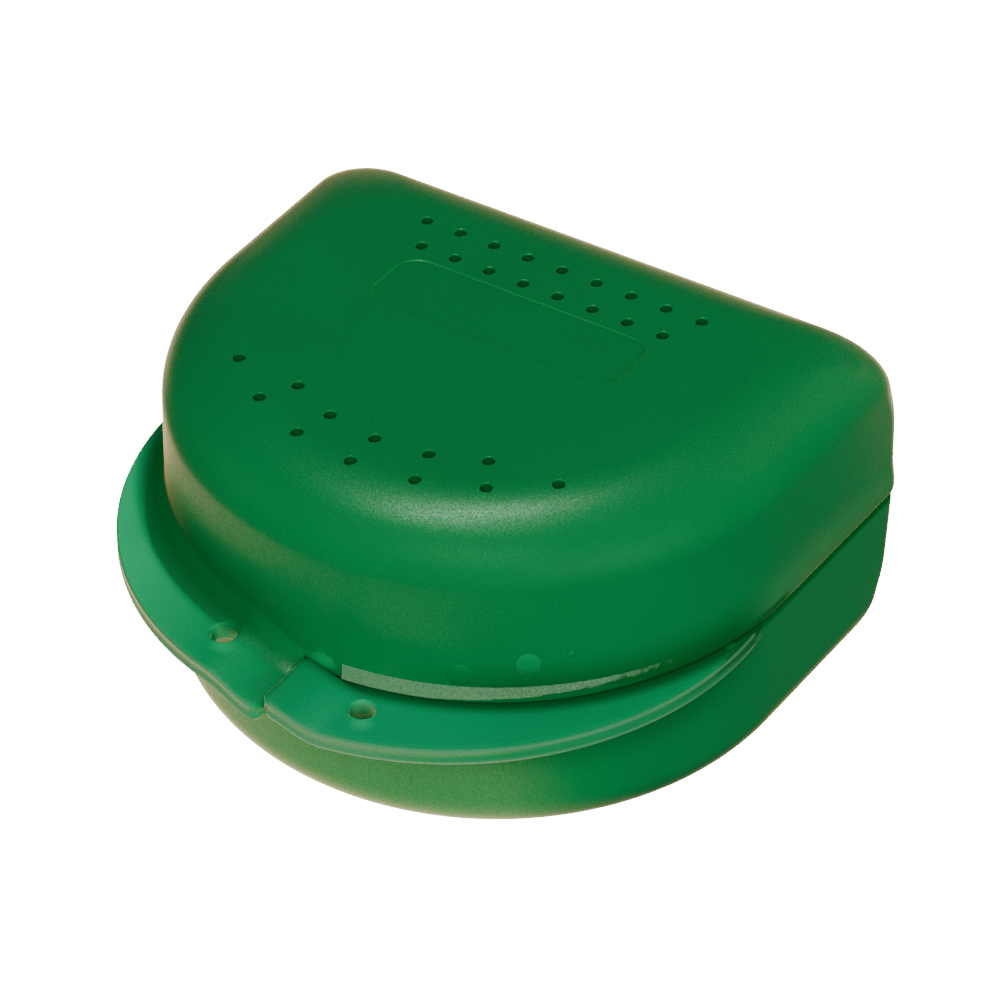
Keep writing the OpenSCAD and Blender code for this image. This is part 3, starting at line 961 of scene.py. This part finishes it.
CASE = case_material("case_green")
lid = half("lid_moulding")
masks(lid)
base = bpy.data.objects.new("base_moulding", lid.data.copy())
bpy.context.scene.collection.objects.link(base)
place_half(lid, False)
place_half(base, True)
guard_frame = guard_layer("guard_frame", frame_loop)
guard_liner = guard_layer("guard_liner", liner_loop)
# Each piece, its body, the CAD node that it replaces, its material slot and its material
PIECES = ((lid, "lid", "lid_shell", "case_plastic", CASE),
          (base, "base", "base_shell", "case_plastic", CASE),
          (guard_frame, "mouthguard", "mouthguard_frame", "guard_frame", frame_material("guard_rubber")),
          (guard_liner, "mouthguard", "mouthguard_liner", "guard_liner", liner_material("guard_gel")))
for piece, body, cad, slot, material in PIECES:
    smooth(piece)
    piece.data.materials.clear()
    piece.data.materials.append(material)
    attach(piece, body)
    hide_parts(cad)


# ---------------------------------------------------------------- floor, light and camera

# Strength of the floor and the world for the camera, and of the warm patches and the world for the
# object
FLOOR_GLOW = 22.0
CARD_GLOW = 0.8
SKY = 0.12
WARM = (1.0, 0.74, 0.45)
# Warm patches that the object sees on the floor: (x, y, radius, width of the soft rim, strength)
RIGHT_CARD = (6, -42, 24, 12, 1.0)
CARDS = ((-24, -22, 39, 21, 1.0), (-25, 130, 82, 18, 1.0), (-62, 24, 30, 18, 0.6),
         (-120, 78, 48, 20, 0.85), RIGHT_CARD)
# A second, brighter layer just in front of the object
NEAR_CARDS = ((-18, -28, 20, 14, 0.7), (*RIGHT_CARD[:4], 0.7))


def camera_only(nodes, links, strength, other, socket):
    """Feeds a strength that the camera sees, and another, a number or an output, for all the rest."""
    path = nodes.new("ShaderNodeLightPath")
    node = nodes.new("ShaderNodeMapRange")
    if isinstance(other, bpy.types.NodeSocket):
        links.new(other, node.inputs["To Min"])
    else:
        node.inputs["To Min"].default_value = other
    node.inputs["To Max"].default_value = strength
    links.new(path.outputs["Is Camera Ray"], node.inputs["Value"])
    links.new(node.outputs["Result"], socket)


def patches(sh, cards):
    """Strength on the floor of the strongest of several soft discs."""
    total = 0.0
    for x, y, radius, rim, strength in cards:
        disc = sh.ramp(sh.distance((x, y, 0.0)), radius * MM, (radius + rim) * MM, strength, 0.0)
        total = sh.math("MAXIMUM", disc, total)
    return total


def studio():
    """A floor and a world that are pale for the camera, and that light the object only a little."""
    mesh = bpy.data.meshes.new("floor")
    s, z = 3.0, -0.03 * MM
    mesh.from_pydata([(-s, -s, z), (s, -s, z), (s, s, z), (-s, s, z)], [], [(0, 1, 2, 3)])
    floor = bpy.data.objects.new("floor", mesh)
    bpy.context.scene.collection.objects.link(floor)
    sh = Shader("floor_white")
    card = patches(sh, CARDS)
    path = sh.nodes.new("ShaderNodeLightPath")
    sh.set(Base_Color=sh.mix(card, (0.08, 0.08, 0.07), WARM), Roughness=0.9, Specular_IOR_Level=0.1)
    sh.set(Emission_Color=sh.mix(path.outputs["Is Camera Ray"], WARM, (0.99, 1.0, 1.01)))
    glow = sh.math("MULTIPLY", sh.math("ADD", card, patches(sh, NEAR_CARDS)), CARD_GLOW)
    camera_only(sh.nodes, sh.links, FLOOR_GLOW, glow, sh.bsdf.inputs["Emission Strength"])
    mesh.materials.append(sh.mat)
    world = bpy.data.worlds.new("studio")
    bpy.context.scene.world = world
    world.use_nodes = True
    tree = world.node_tree
    background = tree.nodes["Background"]
    background.inputs["Color"].default_value = (1, 1, 1, 1)
    camera_only(tree.nodes, tree.links, FLOOR_GLOW + 1.0, SKY, background.inputs["Strength"])


def area_light(name, place, target, size, power, colour=(1, 1, 1), role="diffuse"):
    """A disc of that diameter, or a rectangle if size is a pair, for diffuse or for glossy light."""
    data = bpy.data.lights.new(name, "AREA")
    if isinstance(size, tuple):
        data.shape = "RECTANGLE"
        data.size, data.size_y = size
    else:
        data.shape = "DISK"
        data.size = size
    data.energy = power
    data.color = colour
    obj = bpy.data.objects.new(name, data)
    bpy.context.scene.collection.objects.link(obj)
    obj.location = place
    obj.rotation_euler = (Vector(target) - Vector(place)).to_track_quat("-Z", "Y").to_euler()
    obj.visible_glossy = role == "glossy"
    obj.visible_diffuse = role == "diffuse"


# Point in mm that the camera looks at, in front of the vents at the height of the closed end.
# Direction from there to the camera in degrees, distance in metres, and focal length in mm
TARGET = (17.9, HALF_Y - 27.0, 2 * HALF_H)
AZIMUTH, ELEVATION, DISTANCE = 33.02, 38.06, 0.4416
FOCAL = 144.9


def camera():
    """The camera, which looks down at the front from the right."""
    azimuth, elevation = math.radians(AZIMUTH), math.radians(ELEVATION)
    target = Vector(TARGET) * MM
    level = math.cos(elevation)
    back = Vector((math.sin(azimuth) * level, -math.cos(azimuth) * level, math.sin(elevation)))
    data = bpy.data.cameras.new("camera")
    data.lens = FOCAL
    data.sensor_width = 36
    obj = bpy.data.objects.new("camera", data)
    bpy.context.scene.collection.objects.link(obj)
    obj.location = target + back * DISTANCE
    obj.rotation_euler = back.to_track_quat("Z", "Y").to_euler()
    bpy.context.scene.camera = obj


studio()
area_light("key", (0.25, -0.54, 0.53), (0, 0, 0.02), 0.5, 8.1)
area_light("fill_left", (-0.5, -0.3, 0.25), (0, 0, 0.02), 0.4, 2.2, (1.0, 0.88, 0.66))
area_light("fill_right", (0.55, -0.24, 0.14), (0, 0, 0.02), 0.5, 3.7)
area_light("back", (0.22, 0.53, 0.26), (0, 0, 0.02), 0.4, 3.6, (1.0, 0.83, 0.55))
area_light("strip", (-0.06, 0.03, 0.6), (-0.02, 0.02, 0.02), (0.3, 0.06), 1.9, role="glossy")
area_light("glow", (-0.05, -0.04, 0.6), (0, -0.06, 0.02), 0.36, 1.2, role="glossy")
area_light("rear", (-0.27, 0.55, 0.05), (0, 0, 0.03), (0.6, 0.1), 0.2, (1.0, 0.72, 0.4), role="glossy")
camera()
